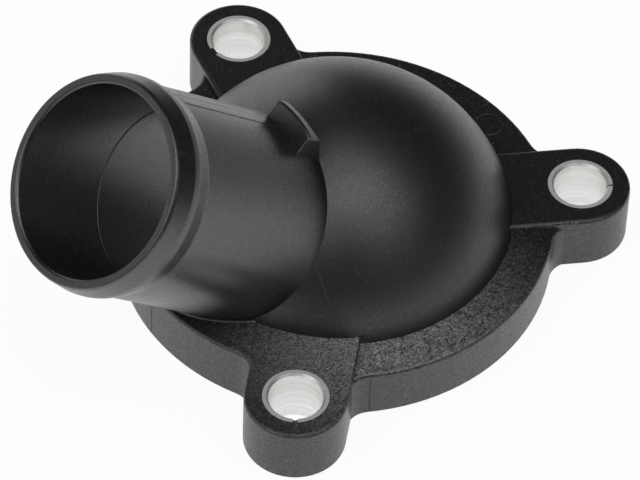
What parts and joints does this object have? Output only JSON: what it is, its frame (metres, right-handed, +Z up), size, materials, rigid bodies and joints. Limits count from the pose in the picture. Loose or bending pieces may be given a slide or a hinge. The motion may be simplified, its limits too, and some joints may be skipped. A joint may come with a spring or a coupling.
{
  "type": "thermostat housing",
  "caption": "Domed plastic coolant outlet cover with an inclined hose neck, bolted down through flange ears with metal sleeves and sealed by a ring in the joint face.",
  "frame": {"origin": "centre of the joint face, on the axis of the dome and the insert seat", "axes": "+Z up through the dome, parallel to the bolts; +X in the direction in which the hose neck leans out"},
  "size_m": [0.1052, 0.0892, 0.0576],
  "materials": {
    "moulding": "black glass-filled nylon as moulded, satin",
    "sleeve": "rolled strip, bright",
    "seal": "moulded, matte"
  },
  "bodies": {
    "root": {"housing": "moulding", "sleeve_front": "sleeve", "sleeve_side": "sleeve", "sleeve_rear": "sleeve", "flange_seal": "seal"}
  },
  "joints": []
}
